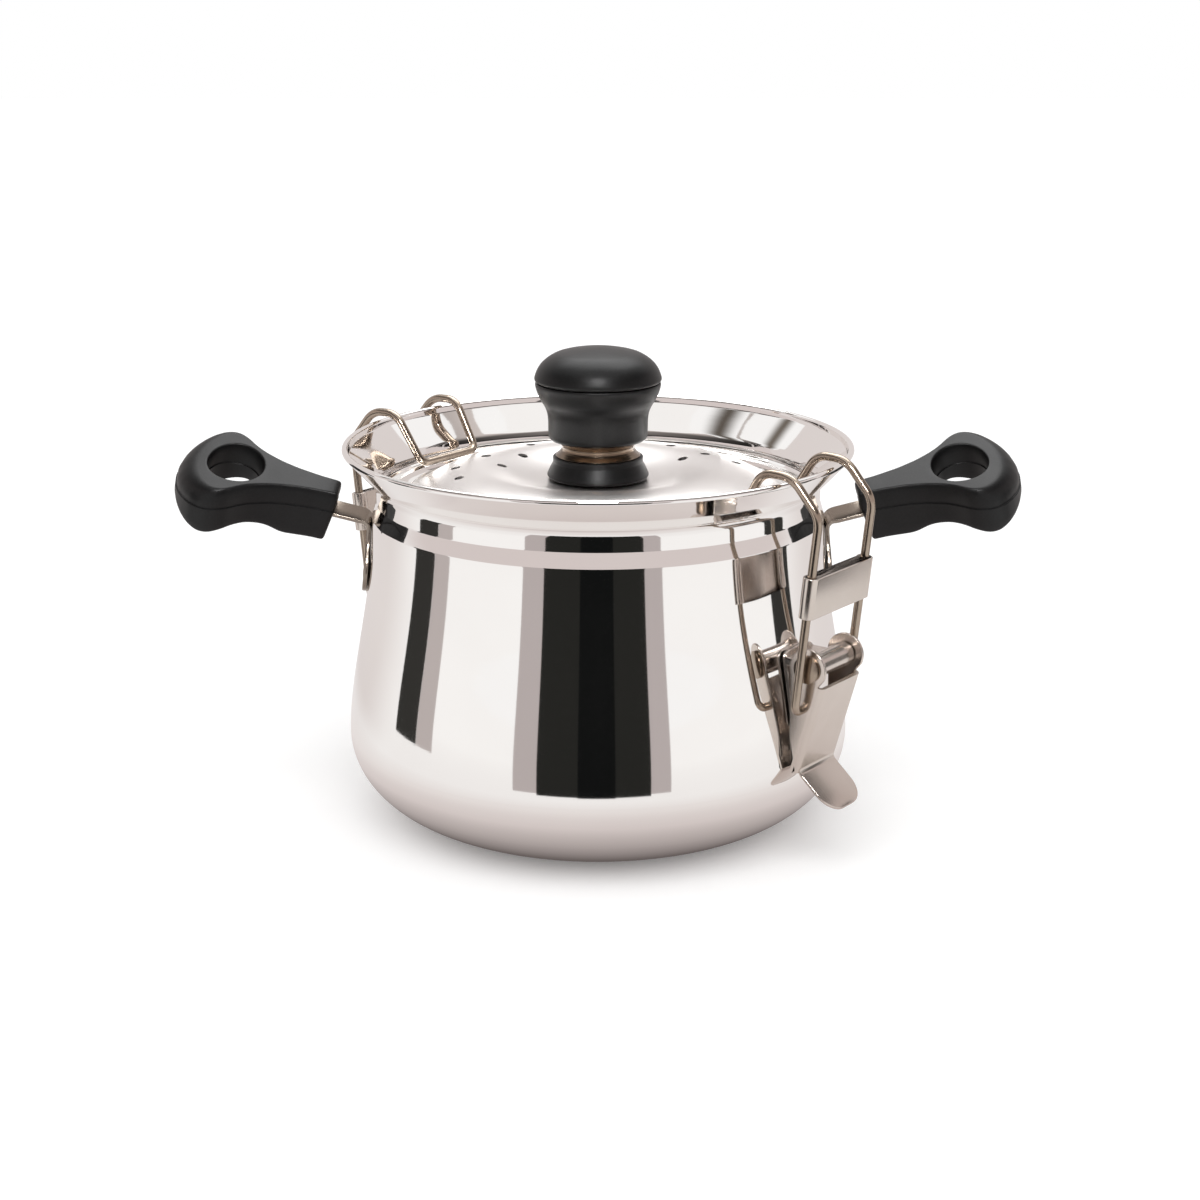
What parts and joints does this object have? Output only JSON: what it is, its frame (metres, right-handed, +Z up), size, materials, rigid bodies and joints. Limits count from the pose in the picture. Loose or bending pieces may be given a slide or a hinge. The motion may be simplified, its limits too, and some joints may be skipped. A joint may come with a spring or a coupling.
{
  "type": "cooking pot",
  "caption": "Round polished steel cooking pot with a flared rim, strainer lid with a black knob, black side grips with finger holes and toggle latches that clamp over the rim.",
  "frame": {"origin": "middle of the pot's flat bottom, on the surface it stands on", "axes": "+Z up along the pot's axis, +X towards the right grip, -Y towards the picture's front"},
  "size_m": [0.3036, 0.182, 0.1699],
  "materials": {
    "polished_steel": "mirror polished",
    "satin_steel": "satin",
    "bright_wire": "bright drawn",
    "brass": "turned",
    "black_moulding": "semi-matte"
  },
  "bodies": {
    "pot": {"pot_body": "polished_steel", "seat_ring": "polished_steel", "left_strap": "satin_steel", "left_grip": "black_moulding", "left_screw": "satin_steel", "right_strap": "satin_steel", "right_grip": "black_moulding", "right_screw": "satin_steel", "front_bracket": "satin_steel", "front_pin": "bright_wire", "rear_bracket": "satin_steel", "rear_pin": "bright_wire"},
    "lid_set": {"lid": "polished_steel", "knob_base": "black_moulding", "knob_ferrule": "bright_wire", "knob_grip": "black_moulding", "knob_cap": "black_moulding", "knob_insert": "brass", "knob_washer": "satin_steel", "knob_screw": "satin_steel"},
    "front_latch": {"front_lever": "satin_steel"},
    "front_wire": {"front_bail": "bright_wire", "front_clip": "satin_steel"},
    "rear_latch": {"rear_lever": "satin_steel"},
    "rear_wire": {"rear_bail": "bright_wire", "rear_clip": "satin_steel"}
  },
  "joints": [
    {"name": "lid_lift", "type": "slide", "parent": "pot", "child": "lid_set", "axis": [0, 0, 1], "range_m": [0, 0.09]},
    {"name": "front_lever_turn", "type": "hinge", "parent": "pot", "child": "front_latch", "pos_m": [0.07787, -0.05868, 0.0725], "axis": [-0.6018, -0.7986, 0], "range_deg": [0, 110]},
    {"name": "front_bail_turn", "type": "hinge", "parent": "front_latch", "child": "front_wire", "pos_m": [0.07627, -0.05747, 0.0578], "axis": [-0.6018, -0.7986, 0], "range_deg": [-96, 0]},
    {"name": "rear_lever_turn", "type": "hinge", "parent": "pot", "child": "rear_latch", "pos_m": [-0.07787, 0.05868, 0.0725], "axis": [0.6018, 0.7986, 0], "range_deg": [0, 110]},
    {"name": "rear_bail_turn", "type": "hinge", "parent": "rear_latch", "child": "rear_wire", "pos_m": [-0.07627, 0.05747, 0.0578], "axis": [0.6018, 0.7986, 0], "range_deg": [-96, 0]}
  ],
  "couplings": [
    {"joint": "front_bail_turn", "follows": "front_lever_turn", "ratio": -0.855},
    {"joint": "rear_bail_turn", "follows": "rear_lever_turn", "ratio": -0.855}
  ]
}
